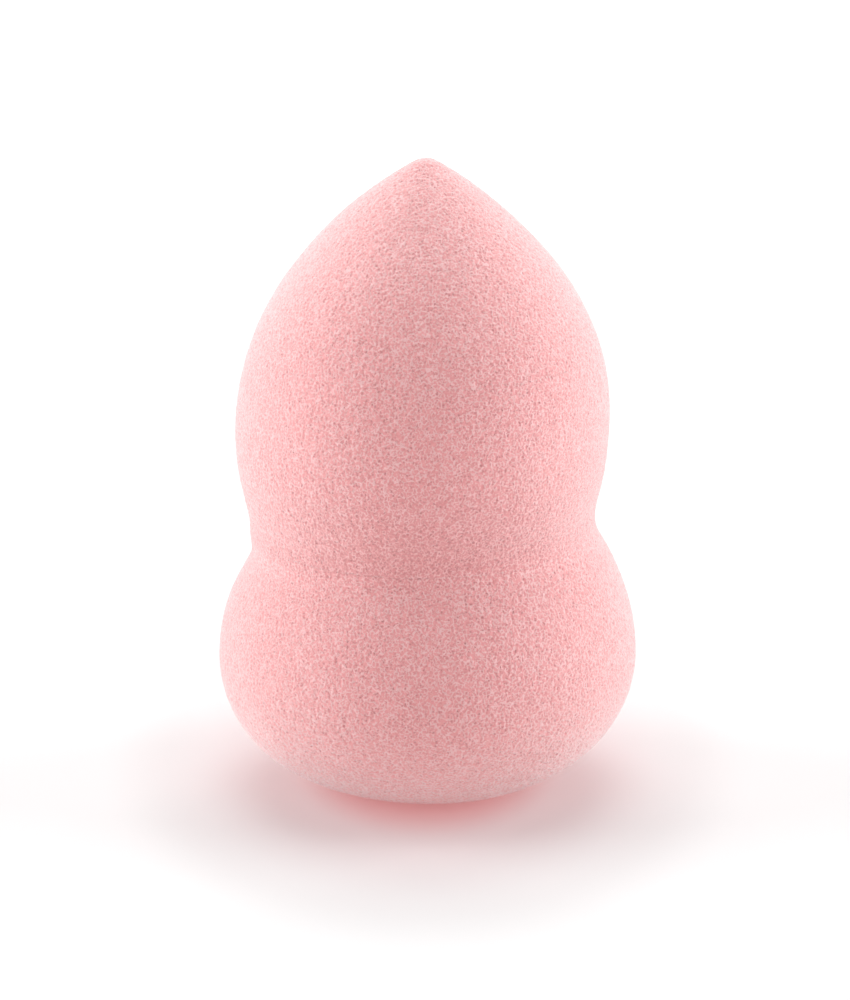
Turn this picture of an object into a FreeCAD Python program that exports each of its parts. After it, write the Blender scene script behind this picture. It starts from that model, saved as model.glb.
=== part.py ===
import FreeCAD, Part
import math
import os

from FreeCAD import Vector

# Driving dimensions, in millimetres and degrees. Levels are stacked from the foot upwards.
foot_radius = 5.0  # flat spot that the sponge stands on
base_level = 12.9  # from the foot up to the widest ring of the base
base_overhang = 2.2  # how far the base stands out past the upper lobe
waist_rise = 12.5  # from the widest ring of the base up to the waist
waist_inset = 1.25  # how far the waist is drawn in from the upper lobe
waist_crease_radius = 4.5  # the waist's hollow below its narrowest ring, seen from the side
waist_hollow_radius = 10.0  # the same above that ring
upper_rise = 10.4  # from the waist up to the widest ring of the upper lobe
upper_radius = 17.8  # the upper lobe at its widest ring
lobe_rise = 7.8  # firm part of the upper lobe, above its widest ring
taper_rise = 8.0  # sloping foam that gives as the tip bends
tip_rise = 10.0  # pointed end
tip_angle = 58.6  # slope of the flank at the tip, measured from the axis
tip_radius = 2.15  # rounding of the point

# Radii and levels that follow from them.
base_radius = upper_radius + base_overhang
waist_radius = upper_radius - waist_inset
waist_level = base_level + waist_rise
upper_level = waist_level + upper_rise
taper_level = upper_level + lobe_rise
tip_level = taper_level + taper_rise
top_level = tip_level + tip_rise

# Headings in the half plane that is turned about the axis: x is the radius and z the height.
outwards = Vector(1, 0, 0)
upwards = Vector(0, 0, 1)
downwards = Vector(0, 0, -1)


# The arc that leaves start along a heading and ends at end.
def arc_towards(start, heading, end):
    chord = end - start
    across = Vector(-chord.z, 0, chord.x)
    lean = math.atan2(heading.dot(across), heading.dot(chord))
    middle = start + chord * 0.5 + across * (0.5 * math.tan(lean / 2))
    return Part.Arc(start, middle, end).toShape()


# Two arcs that meet smoothly, from start along one heading to end along another.
def swelling(start, heading, end, final_heading):
    span = end - start
    turn = 2 * (1 - heading.dot(final_heading))
    along = 2 * span.dot(heading + final_heading)
    reach = (math.sqrt(along ** 2 + 4 * turn * span.dot(span)) - along) / (2 * turn)
    join = (start + heading * reach + end - final_heading * reach) * 0.5
    return [arc_towards(start, heading, join), arc_towards(end, final_heading * -1, join)]


# An S of two arcs between a wide ring and the waist, upright at both ends.
def drawn_in(wide, waist, heading, hollow_radius):
    span = wide - waist
    both_radii = span.dot(span) / (2 * span.x)
    join = waist + span * (hollow_radius / both_radii)
    return [arc_towards(wide, heading, join), arc_towards(waist, heading * -1, join)]


# Half of the sponge cut through its axis, bounded from the foot to the point by the outline.
def half_outline():
    foot_centre = Vector(0, 0, 0)
    foot_edge = Vector(foot_radius, 0, 0)
    base_ring = Vector(base_radius, 0, base_level)
    waist_ring = Vector(waist_radius, 0, waist_level)
    upper_ring = Vector(upper_radius, 0, upper_level)
    point = Vector(0, 0, top_level)
    slope = math.radians(tip_angle)
    flank_heading = Vector(-math.sin(slope), 0, math.cos(slope))
    point_centre = Vector(0, 0, top_level - tip_radius)
    flank_end = point_centre + Vector(math.cos(slope), 0, math.sin(slope)) * tip_radius
    edges = [Part.LineSegment(foot_centre, foot_edge).toShape()]
    edges += swelling(foot_edge, outwards, base_ring, upwards)
    edges += drawn_in(base_ring, waist_ring, upwards, waist_crease_radius)
    edges += reversed(drawn_in(upper_ring, waist_ring, downwards, waist_hollow_radius))
    edges += swelling(upper_ring, upwards, flank_end, flank_heading)
    edges.append(arc_towards(flank_end, flank_heading, point))
    edges.append(Part.LineSegment(point, foot_centre).toShape())
    return Part.Face(Part.Wire(edges))


# The foam between two levels: that band of the half outline, turned about the axis.
def zone_between(half_sponge, low, high):
    reach = 2 * base_radius
    corners = [Vector(0, 0, low), Vector(reach, 0, low), Vector(reach, 0, high), Vector(0, 0, high)]
    band = Part.Face(Part.makePolygon(corners + corners[:1]))
    half_zone = half_sponge.common(band).Faces[0]
    return half_zone.revolve(Vector(0, 0, 0), upwards, 360)


def main():
    os.makedirs("parts", exist_ok=True)
    half_sponge = half_outline()
    zones = {
        "round_base": (0, base_level),
        "lower_waist": (base_level, waist_level),
        "upper_waist": (waist_level, upper_level),
        "upper_lobe": (upper_level, taper_level),
        "taper": (taper_level, tip_level),
        "tip": (tip_level, top_level),
    }
    for name, (low, high) in zones.items():
        zone = zone_between(half_sponge, low, high)
        zone.exportStep("parts/" + name + ".step")
        print(name, "volume in cubic millimetres:", round(zone.Volume, 1))


main()
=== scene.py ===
import math

import bmesh
import bpy
from mathutils import Matrix, Vector, noise


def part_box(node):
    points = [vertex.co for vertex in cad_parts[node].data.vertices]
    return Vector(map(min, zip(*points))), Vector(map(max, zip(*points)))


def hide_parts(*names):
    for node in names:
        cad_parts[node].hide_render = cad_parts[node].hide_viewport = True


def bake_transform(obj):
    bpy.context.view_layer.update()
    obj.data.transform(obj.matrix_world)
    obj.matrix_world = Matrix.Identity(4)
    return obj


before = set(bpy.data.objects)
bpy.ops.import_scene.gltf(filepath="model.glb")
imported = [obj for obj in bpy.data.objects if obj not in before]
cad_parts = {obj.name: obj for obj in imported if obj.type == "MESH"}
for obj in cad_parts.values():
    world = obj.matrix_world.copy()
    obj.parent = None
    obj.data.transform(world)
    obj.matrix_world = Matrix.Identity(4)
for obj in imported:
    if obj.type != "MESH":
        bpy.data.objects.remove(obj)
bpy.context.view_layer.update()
print("frame loaded")

# sizes of the foam that the frame's boxes don't give, in metres and degrees
foamForm = {
    "footRadius": 0.005,  # flat spot it stands on
    "creaseRadius": 0.0045,  # the waist's hollow below its narrowest ring, seen from the side
    "hollowRadius": 0.010,  # the same above that ring
    "tipAngle": 58.6,  # slope of the flank at the point, from the axis
    "tipRadius": 0.00215,  # rounding of the point
    "outlineStep": 0.0005,  # spacing of points along the outline
    "stepsRound": 240,
    "faceSize": 0.00015,  # even faces that the pits are pressed into
    "mergeGap": 1e-6,  # points closer than this are one
    "levelGap": 1e-5,  # a point this near to a level lies on it
}


# the widest ring of a node's mesh at one level
def ringRadius(nodeName, level):
    points = [v.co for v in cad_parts[nodeName].data.vertices]
    return max(math.hypot(co.x, co.y) for co in points if abs(co.z - level) < foamForm["levelGap"])


# spin the last point of the outline along an arc that leaves on a heading and ends at a given point
def arcTo(bm, point, heading, end):
    chord = end - point.co
    across = Vector((-chord.z, 0, chord.x))
    lean = math.atan2(heading.dot(across), heading.dot(chord))
    centre = point.co + chord / 2 - across * (0.5 / math.tan(lean))
    arcLength = abs(2 * lean) * (point.co - centre).length
    steps = max(2, math.ceil(arcLength / foamForm["outlineStep"]))
    spun = bmesh.ops.spin(
        bm, geom=[point], cent=centre, axis=(0, 1, 0), angle=2 * lean, steps=steps
    )
    last = next(g for g in spun["geom_last"] if isinstance(g, bmesh.types.BMVert))
    last.co = end
    return last, Matrix.Rotation(2 * lean, 3, "Y") @ heading


# two arcs that meet smoothly, from one heading to another
def swellTo(bm, point, heading, end, finalHeading):
    span = end - point.co
    turn = 2 * (1 - heading.dot(finalHeading))
    along = 2 * span.dot(heading + finalHeading)
    reach = (math.sqrt(along**2 + 4 * turn * span.dot(span)) - along) / (2 * turn)
    join = (point.co + heading * reach + end - finalHeading * reach) / 2
    point, heading = arcTo(bm, point, heading, join)
    return arcTo(bm, point, heading, end)


# where the hollow of the waist turns into the swell of a wide ring
def hollowEnd(waist, wide, hollowRadius):
    span = wide - waist
    bothRadii = span.dot(span) / (2 * span.x)
    return waist + span * (hollowRadius / bothRadii)


def spinFoam():
    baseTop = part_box("round_base")[1]
    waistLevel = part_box("lower_waist")[1].z
    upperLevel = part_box("upper_waist")[1].z
    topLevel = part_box("tip")[1].z
    baseRing = Vector((baseTop.x, 0, baseTop.z))
    waistRing = Vector((ringRadius("upper_waist", waistLevel), 0, waistLevel))
    upperRing = Vector((ringRadius("upper_lobe", upperLevel), 0, upperLevel))
    point = Vector((0, 0, topLevel))
    slope = math.radians(foamForm["tipAngle"])
    flankHeading = Vector((-math.sin(slope), 0, math.cos(slope)))
    tipRadius = foamForm["tipRadius"]
    flankEnd = point + Vector((math.cos(slope), 0, math.sin(slope) - 1)) * tipRadius
    out = Vector((1, 0, 0))
    up = Vector((0, 0, 1))

    # half of the outline, from the foot to the point
    bm = bmesh.new()
    footMiddle = bm.verts.new((0, 0, 0))
    last = bm.verts.new((foamForm["footRadius"], 0, 0))
    bm.edges.new((footMiddle, last))
    last, _ = swellTo(bm, last, out, baseRing, up)
    last, heading = arcTo(bm, last, up, hollowEnd(waistRing, baseRing, foamForm["creaseRadius"]))
    last, _ = arcTo(bm, last, heading, waistRing)
    last, heading = arcTo(bm, last, up, hollowEnd(waistRing, upperRing, foamForm["hollowRadius"]))
    last, _ = arcTo(bm, last, heading, upperRing)
    last, _ = swellTo(bm, last, up, flankEnd, flankHeading)
    arcTo(bm, last, flankHeading, point)

    # the whole foam, turned about its axis
    bmesh.ops.spin(
        bm,
        geom=bm.verts[:] + bm.edges[:],
        cent=(0, 0, 0),
        axis=(0, 0, 1),
        angle=math.tau,
        steps=foamForm["stepsRound"],
        use_merge=True,
    )
    bmesh.ops.remove_doubles(bm, verts=bm.verts, dist=foamForm["mergeGap"])
    bmesh.ops.recalc_face_normals(bm, faces=bm.faces)
    return bm


# even faces all over, so that the pits are alike on every side
def evenFaces(bm):
    mesh = bpy.data.meshes.new("spunFoam")
    bm.to_mesh(mesh)
    bm.free()
    spun = bpy.data.objects.new("spunFoam", mesh)
    bpy.context.collection.objects.link(spun)
    remesh = spun.modifiers.new("evenFaces", "REMESH")
    remesh.mode = "VOXEL"
    remesh.voxel_size = foamForm["faceSize"]
    remesh.use_smooth_shade = True
    shaped = spun.evaluated_get(bpy.context.evaluated_depsgraph_get())
    even = bmesh.new()
    even.from_mesh(shaped.to_mesh())
    shaped.to_mesh_clear()
    bpy.data.objects.remove(spun)
    bpy.data.meshes.remove(mesh)
    return even


millimetres = 1000  # in a metre

# how far the hand-shaped foam is from a true turned shape, in millimetres
unevenness = {
    "waistTilt": 0.9,  # the waist is lower at its left edge and higher at its right edge, by this
    "waistReach": 6.0,
    "scoopDepth": 0.75,  # the hollow is broader on the left
    "scoopReach": 5.6,
    "scoopDrop": 1.5,  # its middle is this far below the waist
    "neckFill": 0.55,  # and it is shallower at the waist itself
    "neckReach": 2.2,
    "baseAside": 0.2,  # where the axis runs in the base, the upper lobe and the point
    "lobeAside": -0.3,
    "tipAside": 0.05,
    "baseToLobe": (16, 27),  # heights between which it drifts
    "lobeToTip": (33, 44),
    "lumpSize": 9.0,
    "lumpDepth": 0.12,
    "lumpStart": (2, 9, 4),  # where the lumps' noise starts
}

# the open cells of the foam, in millimetres
cells = {
    "poreSize": 0.38,
    "poreDepth": 0.09,
    "poreEdge": (0.02, 0.55),  # from a pore's wall to its bottom, as shares of its size
    "poreLevel": 0.45,  # share of its depth by which the walls stand proud
    "coarseSize": 0.8,  # broad dents
    "coarseDepth": 0.02,
    "grainSize": 0.2,  # fine roughness
    "grainDepth": 0.025,
    "grainStart": (7, 3, 5),  # where the grain's noise starts
    "poreShare": 0.7,  # what each adds to the depth that the colour reads; the colour darkens with depth, partly as painted shade in the pores
    "coarseShare": 0.08,
    "grainShare": 0.22,
}


def smoothStep(low, high, value):
    t = min(1, max(0, (value - low) / (high - low)))
    return t * t * (3 - 2 * t)


# a soft hump of height 1
def hump(distance, reach):
    return math.exp(-((distance / reach) ** 2))


# sideways drift of the axis from the foot to the point
def axisDrift(height):
    u = unevenness
    drift = u["baseAside"]
    drift += (u["lobeAside"] - u["baseAside"]) * smoothStep(*u["baseToLobe"], height)
    drift += (u["tipAside"] - u["lobeAside"]) * smoothStep(*u["lobeToTip"], height)
    return drift


# how far the left side of the waist is drawn in, by the height above the waist
def leftScoop(above, leftness):
    scoop = unevenness["scoopDepth"] * hump(above + unevenness["scoopDrop"], unevenness["scoopReach"])
    fill = unevenness["neckFill"] * hump(above, unevenness["neckReach"])
    return (scoop - fill) * smoothStep(0, 1, leftness)


def pitFoam(bm):
    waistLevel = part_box("lower_waist")[1].z * millimetres
    waistRadius = ringRadius("upper_waist", waistLevel / millimetres) * millimetres
    grainStart = Vector(cells["grainStart"])
    lumpStart = Vector(unevenness["lumpStart"])
    depth = bm.verts.layers.float.new("pitDepth")
    place = bm.verts.layers.float_vector.new("restPlace")
    bm.normal_update()
    moves = []
    for v in bm.verts:
        p = v.co * millimetres
        near = noise.voronoi(p / cells["poreSize"])[0]
        pore = smoothStep(*cells["poreEdge"], near[1] - near[0])
        coarse = noise.noise(p / cells["coarseSize"])
        grain = noise.noise(p / cells["grainSize"] + grainStart)
        lump = noise.noise(p / unevenness["lumpSize"] + lumpStart)
        rise = cells["poreDepth"] * (cells["poreLevel"] - pore) + cells["coarseDepth"] * coarse
        rise += cells["grainDepth"] * grain + unevenness["lumpDepth"] * lump
        aboveWaist = p.z - waistLevel
        tilt = unevenness["waistTilt"] * hump(aboveWaist, unevenness["waistReach"]) * p.x / waistRadius
        aside = axisDrift(p.z) + leftScoop(aboveWaist, -p.x / waistRadius)
        moved = p + v.normal * rise + Vector((aside, 0, tilt))
        moves.append(Vector((moved.x, moved.y, max(0, moved.z))))  # nothing sinks into the floor
        # the colour reads this: darker down in the pores, partly painted shade
        deep = cells["poreShare"] * pore + cells["coarseShare"] * (0.5 - coarse)
        deep += cells["grainShare"] * (0.5 - grain)
        v[depth] = min(1, max(0, deep))
        v[place] = v.co
    for v, moved in zip(bm.verts, moves):
        v.co = moved / millimetres


foamBody = evenFaces(spinFoam())
print("foam spun and remeshed:", len(foamBody.faces), "faces")
pitFoam(foamBody)
print("foam pitted")

# the foam's finish; its tone runs from 0 on a strand to 1 down in a pit, where its darkness is partly
# painted shade
foamLook = {
    "colours": (
        (0.05, (1.0, 0.545, 0.55, 1)),  # the thin walls of the open cells
        (0.5, (0.905, 0.299, 0.304, 1)),  # the surface between them
        (0.95, (0.66, 0.19, 0.195, 1)),  # down in a pit, darker partly as painted shade
    ),
    "plainTone": 0.45,  # the surface by itself
    "strandShare": -0.55,  # what each pattern adds to it
    "pitShare": 0.5,
    "depthShare": 0.1,
    "waistShadeShare": 0.17,
    "strandScale": 2900,  # cells per metre, about 0.35 mm each
    "strandEdge": (0.02, 0.2),  # a strand's soft edge, as shares of a cell
    "strandGap": (0.38, 0.54),  # noise below this breaks a strand off, and above it leaves it whole
    "strayScale": 4350,  # noise that bends and breaks the strands
    "strayDetail": 1,
    "wander": 0.0001,  # how far they stray from straight, in metres
    "pitScale": 3500,  # pits per metre
    "pitEdge": (0.15, 0.55),  # from a pit's bottom to its rim, as shares of a cell
    "waistShadeFoot": (-0.0015, 0.001),  # painted shade: the hollow of the waist is darker in colour, fading in here
    "waistShadeTop": (0.002, 0.012),  # and out here, by the height above the waist
    "roughness": (0.8, 0.98),  # on a strand and in a pit
    "specular": 0.15,
    "sheen": 1.0,
    "sheenRoughness": 0.7,
    "sheenTint": (1, 1, 1, 1),
    "fineDepth": 0.00004,
}


# shader nodes are placed from left to right as they are made
def addNode(tree, kind, place, **settings):
    node = tree.nodes.new(kind)
    node.location = place
    for key, value in settings.items():
        setattr(node, key, value)
    return node


# a soft step between two values, rising from 0 to 1 or falling from 1 to 0
def softStep(tree, place, source, low, high, rising=True):
    step = addNode(tree, "ShaderNodeMapRange", place, interpolation_type="SMOOTHSTEP")
    step.inputs["From Min"].default_value = low
    step.inputs["From Max"].default_value = high
    step.inputs["To Min"].default_value = 0 if rising else 1
    step.inputs["To Max"].default_value = 1 if rising else 0
    tree.links.new(source, step.inputs["Value"])
    return step.outputs["Result"]


def times(tree, place, a, b):
    product = addNode(tree, "ShaderNodeMath", place, operation="MULTIPLY")
    tree.links.new(a, product.inputs[0])
    tree.links.new(b, product.inputs[1])
    return product.outputs["Value"]


# a tone plus a share of a pattern
def addShare(tree, place, tone, pattern, share):
    summed = addNode(tree, "ShaderNodeMath", place, operation="MULTIPLY_ADD")
    tree.links.new(pattern, summed.inputs[0])
    summed.inputs[1].default_value = share
    if isinstance(tone, float):
        summed.inputs[2].default_value = tone
    else:
        tree.links.new(tone, summed.inputs[2])
    return summed.outputs["Value"]


# colours at two or more stops, from 0 to 1
def colourRamp(tree, place, source, stops, fade="LINEAR"):
    ramp = addNode(tree, "ShaderNodeValToRGB", place)
    ramp.color_ramp.interpolation = fade
    elements = ramp.color_ramp.elements
    elements[0].position, elements[0].color = stops[0]
    elements[1].position, elements[1].color = stops[-1]
    for position, colour in stops[1:-1]:
        elements.new(position).color = colour
    tree.links.new(source, ramp.inputs["Fac"])
    return ramp.outputs["Color"]


# the foam's own coordinates, strayed a little, and the noise that they stray by
def strayedPlace(tree, place):
    stray = addNode(tree, "ShaderNodeTexNoise", (-1900, -200))
    stray.inputs["Scale"].default_value = foamLook["strayScale"]
    stray.inputs["Detail"].default_value = foamLook["strayDetail"]
    tree.links.new(place, stray.inputs["Vector"])
    centred = addNode(tree, "ShaderNodeVectorMath", (-1700, -200), operation="SUBTRACT")
    centred.inputs[1].default_value = (0.5, 0.5, 0.5)
    tree.links.new(stray.outputs["Color"], centred.inputs[0])
    strayed = addNode(tree, "ShaderNodeVectorMath", (-1500, -100), operation="MULTIPLY_ADD")
    strayed.inputs[1].default_value = [2 * foamLook["wander"]] * 3
    tree.links.new(centred.outputs["Vector"], strayed.inputs[0])
    tree.links.new(place, strayed.inputs[2])
    return strayed.outputs["Vector"], stray.outputs["Fac"]


# strands follow the edges of the cells, with gaps
def strandPattern(tree, strayed, strayNoise):
    edges = addNode(tree, "ShaderNodeTexVoronoi", (-1250, 200), feature="DISTANCE_TO_EDGE")
    edges.inputs["Scale"].default_value = foamLook["strandScale"]
    tree.links.new(strayed, edges.inputs["Vector"])
    edge = edges.outputs["Distance"]
    line = softStep(tree, (-1000, 250), edge, *foamLook["strandEdge"], rising=False)
    whole = softStep(tree, (-1000, 0), strayNoise, *foamLook["strandGap"])
    return times(tree, (-800, 200), line, whole)


# pits lie between the strands, each as deep as chance has it, and darker partly as painted shade
def pitPattern(tree, strayed):
    pits = addNode(tree, "ShaderNodeTexVoronoi", (-1250, -300), feature="F1")
    pits.inputs["Scale"].default_value = foamLook["pitScale"]
    tree.links.new(strayed, pits.inputs["Vector"])
    middle = pits.outputs["Distance"]
    dot = softStep(tree, (-1000, -250), middle, *foamLook["pitEdge"], rising=False)
    chance = addNode(tree, "ShaderNodeSeparateColor", (-1000, -500))
    tree.links.new(pits.outputs["Color"], chance.inputs["Color"])
    return times(tree, (-800, -250), dot, chance.outputs["Red"])


# painted shade in the hollow above the waist, between two levels that fade
def paintedWaistShade(tree, place):
    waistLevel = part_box("lower_waist")[1].z
    split = addNode(tree, "ShaderNodeSeparateXYZ", (-1250, 800))
    tree.links.new(place, split.inputs["Vector"])
    height = split.outputs["Z"]
    foot = [waistLevel + rise for rise in foamLook["waistShadeFoot"]]
    top = [waistLevel + rise for rise in foamLook["waistShadeTop"]]
    above = softStep(tree, (-1000, 900), height, *foot)
    below = softStep(tree, (-1000, 650), height, *top, rising=False)
    return times(tree, (-800, 800), above, below)


def foamPink():
    look = foamLook
    material = bpy.data.materials.new("foamPink")
    material.use_nodes = True
    tree = material.node_tree
    shader = tree.nodes["Principled BSDF"]
    shader.inputs["Specular IOR Level"].default_value = look["specular"]
    shader.inputs["Sheen Weight"].default_value = look["sheen"]
    shader.inputs["Sheen Roughness"].default_value = look["sheenRoughness"]
    shader.inputs["Sheen Tint"].default_value = look["sheenTint"]

    rest = addNode(tree, "ShaderNodeAttribute", (-2100, 0), attribute_name="restPlace")
    depth = addNode(tree, "ShaderNodeAttribute", (-800, 500), attribute_name="pitDepth")
    place = rest.outputs["Vector"]
    strayed, strayNoise = strayedPlace(tree, place)
    strand = strandPattern(tree, strayed, strayNoise)
    pit = pitPattern(tree, strayed)
    # painted shade that darkens the hollow of the waist
    hollow = paintedWaistShade(tree, place)
    tone = addShare(tree, (-600, 200), look["plainTone"], strand, look["strandShare"])
    tone = addShare(tree, (-500, 200), tone, pit, look["pitShare"])
    tone = addShare(tree, (-400, 200), tone, depth.outputs["Fac"], look["depthShare"])
    tone = addShare(tree, (-300, 200), tone, hollow, look["waistShadeShare"])
    colour = colourRamp(tree, (-100, 200), tone, look["colours"])
    tree.links.new(colour, shader.inputs["Base Color"])

    rough = addNode(tree, "ShaderNodeMapRange", (-100, -100))
    rough.inputs["To Min"].default_value = look["roughness"][0]
    rough.inputs["To Max"].default_value = look["roughness"][1]
    tree.links.new(tone, rough.inputs["Value"])
    tree.links.new(rough.outputs["Result"], shader.inputs["Roughness"])

    bump = addNode(tree, "ShaderNodeBump", (-100, -400), invert=True)
    bump.inputs["Distance"].default_value = look["fineDepth"]
    tree.links.new(tone, bump.inputs["Height"])
    tree.links.new(bump.outputs["Normal"], shader.inputs["Normal"])
    return material


pink = foamPink()
print("foam material made")

# where the foam is split, so that each piece gives across one joint
splits = {
    "foamBase": {
        "replaces": ("round_base", "lower_waist"),
        "bodies": ("base", "waist"),
        "still": 0.001,  # height above the lower end that stays with the first body
        "settle": 0.0006,  # height below the upper end that stays with the second
    },
    "foamLobe": {
        "replaces": ("upper_waist", "upper_lobe"),
        "bodies": ("waist", "lobe"),
        "still": 0.0006,
        "settle": 0.0006,
    },
    "foamPoint": {
        "replaces": ("taper", "tip"),
        "bodies": ("lobe", "point"),
        "still": 0.0006,
        "settle": 0.005,
    },
}
cutGap = 1e-7  # points this near to a cut lie on it


def capCut(bm, cutGeom):
    rim = [g for g in cutGeom if isinstance(g, bmesh.types.BMEdge)]
    made = bmesh.ops.holes_fill(bm, edges=rim, sides=0)["faces"]
    for face in made:
        face.smooth = False
    return made


# the piece of foam between two levels, closed at its cuts
def cutFoam(whole, name, low, high):
    bm = whole.copy()
    caps = []
    for level, heading in ((low, -1), (high, 1)):
        if level is None:
            continue
        cut = bmesh.ops.bisect_plane(
            bm,
            geom=bm.verts[:] + bm.edges[:] + bm.faces[:],
            dist=cutGap,
            plane_co=(0, 0, level),
            plane_no=(0, 0, heading),
            clear_outer=True,
        )
        caps += capCut(bm, cut["geom_cut"])
    bmesh.ops.recalc_face_normals(bm, faces=caps)
    mesh = bpy.data.meshes.new(name)
    bm.to_mesh(mesh)
    bm.free()
    piece = bpy.data.objects.new(name, mesh)
    bpy.context.collection.objects.link(piece)
    return piece


for name, split in splits.items():
    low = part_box(split["replaces"][0])[0].z
    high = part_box(split["replaces"][1])[1].z
    piece = cutFoam(
        foamBody,
        name,
        None if name == "foamBase" else low,
        None if name == "foamPoint" else high,
    )
    piece.data.materials.append(pink)
    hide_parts(*split["replaces"])
    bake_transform(piece)
    print(name, "cut:", len(piece.data.polygons), "faces")
foamBody.free()

# the floor, with a painted pink shadow and a painted glow round the foot: its colour and the light it
# gives off change with the distance from a point by the foot
floorLook = {
    "size": 0.45,  # from its middle to a side
    "segments": 8,  # squares along a side
    "roughness": 0.8,
    "paintedShadowStretch": (1.4, 0.8, 1),  # its rings are ovals, deeper than they are wide
    "paintedShadowMiddle": (0, 0.005, 0),  # their middle, once they are stretched to circles
    "colours": (
        (0.015, (0.60, 0.545, 0.55, 1)),  # painted pink shadow round the foot
        (0.040, (0.60, 0.60, 0.60, 1)),
    ),
    # painted light: the floor glows, dim and pink round the foot as painted shadow and glow, and white
    # further out
    "lights": (
        (0.013, (0.31, 0.155, 0.155, 1)),
        (0.020, (0.21, 0.18, 0.18, 1)),
        (0.034, (0.24, 0.23, 0.23, 1)),
        (0.045, (0.31, 0.31, 0.31, 1)),
        (0.120, (0.33, 0.33, 0.33, 1)),
        (0.250, (0.90, 0.90, 0.90, 1)),  # white as far as it is seen
    ),
}

# softboxes, placed by their turn from the front and their height, both in degrees
softboxes = {
    "leftSoftbox": {"turn": -95, "height": 24, "away": 0.6, "size": 0.5, "power": 3.0},
    "rightSoftbox": {"turn": 95, "height": 24, "away": 0.6, "size": 0.5, "power": 2.88},
    "leftFill": {"turn": -45, "height": 12, "away": 0.6, "size": 0.4, "power": 0.55},
    "rightFill": {"turn": 45, "height": 12, "away": 0.6, "size": 0.4, "power": 0.55},
    "backSoftbox": {"turn": 180, "height": 47, "away": 0.6, "size": 0.6, "power": 1.4},
    "topSoftbox": {"turn": 180, "height": 75, "away": 0.7, "size": 0.7, "power": 2.22},
}
lightsAim = Vector((0, 0, 0.03))
skyFill = 0.08  # light from all around


# a colour that changes softly from ring to ring
def ringColour(tree, place, away, rings):
    reach = rings[-1][0]
    share = addNode(tree, "ShaderNodeMapRange", place)
    share.inputs["From Max"].default_value = reach
    tree.links.new(away, share.inputs["Value"])
    stops = [(distance / reach, colour) for distance, colour in rings]
    return colourRamp(tree, (place[0] + 200, place[1]), share.outputs["Result"], stops, "EASE")


def paleFloor():
    mesh = bpy.data.meshes.new("floor")
    bm = bmesh.new()
    segments = floorLook["segments"]
    bmesh.ops.create_grid(bm, x_segments=segments, y_segments=segments, size=floorLook["size"])
    bm.to_mesh(mesh)
    bm.free()
    floor = bpy.data.objects.new("floor", mesh)
    bpy.context.collection.objects.link(floor)
    white = bpy.data.materials.new("floorPaintedShadow")
    white.use_nodes = True
    tree = white.node_tree
    shader = tree.nodes["Principled BSDF"]
    shader.inputs["Roughness"].default_value = floorLook["roughness"]
    shader.inputs["Specular IOR Level"].default_value = 0
    shader.inputs["Emission Strength"].default_value = 1
    spot = addNode(tree, "ShaderNodeTexCoord", (-1200, 0))
    oval = addNode(tree, "ShaderNodeVectorMath", (-1000, 0), operation="MULTIPLY")
    oval.inputs[1].default_value = floorLook["paintedShadowStretch"]
    tree.links.new(spot.outputs["Object"], oval.inputs[0])
    distance = addNode(tree, "ShaderNodeVectorMath", (-800, 0), operation="DISTANCE")
    distance.inputs[1].default_value = floorLook["paintedShadowMiddle"]
    tree.links.new(oval.outputs["Vector"], distance.inputs[0])
    away = distance.outputs["Value"]
    # painted pink shadow in the colour and painted glow in the light, both round the foot
    colour = ringColour(tree, (-600, 150), away, floorLook["colours"])
    light = ringColour(tree, (-600, -150), away, floorLook["lights"])
    tree.links.new(colour, shader.inputs["Base Color"])
    tree.links.new(light, shader.inputs["Emission Color"])
    mesh.materials.append(white)


def hangSoftbox(name, box):
    light = bpy.data.lights.new(name, "AREA")
    light.shape = "DISK"
    light.size = box["size"]
    light.energy = box["power"]
    turn, height = math.radians(box["turn"]), math.radians(box["height"])
    outward = Vector((math.sin(turn), -math.cos(turn), 0)) * math.cos(height)
    outward.z = math.sin(height)
    hung = bpy.data.objects.new(name, light)
    hung.location = lightsAim + outward * box["away"]
    hung.rotation_euler = (-outward).to_track_quat("-Z", "Y").to_euler()
    bpy.context.collection.objects.link(hung)


# white where the camera sees it, and a weaker fill for the foam
def whiteSurround():
    world = bpy.data.worlds.new("whiteSurround")
    world.use_nodes = True
    tree = world.node_tree
    background = tree.nodes["Background"]
    background.inputs["Color"].default_value = (1, 1, 1, 1)
    path = addNode(tree, "ShaderNodeLightPath", (-500, 0))
    strength = addNode(tree, "ShaderNodeMapRange", (-250, 0))
    strength.inputs["To Min"].default_value = skyFill
    strength.inputs["To Max"].default_value = 1
    tree.links.new(path.outputs["Is Camera Ray"], strength.inputs["Value"])
    tree.links.new(strength.outputs["Result"], background.inputs["Strength"])
    bpy.context.scene.world = world


paleFloor()
for name, box in softboxes.items():
    hangSoftbox(name, box)
whiteSurround()
bpy.context.scene.view_settings.view_transform = "Standard"
print("floor and lights set")

# the photo's view: height in degrees, lens in millimetres, the rest in metres
view = {"height": 17.0, "away": 0.594, "aim": (0, 0, 0.028), "lens": 223.5, "nearest": 0.01}


def lookAtFoam():
    camera = bpy.data.cameras.new("photoCamera")
    camera.lens = view["lens"]
    camera.clip_start = view["nearest"]
    stand = bpy.data.objects.new("photoCamera", camera)
    rise = math.radians(view["height"])
    back = Vector((0, -math.cos(rise), math.sin(rise)))
    stand.location = Vector(view["aim"]) + back * view["away"]
    stand.rotation_euler = (-back).to_track_quat("-Z", "Y").to_euler()
    bpy.context.collection.objects.link(stand)
    bpy.context.scene.camera = stand


lookAtFoam()
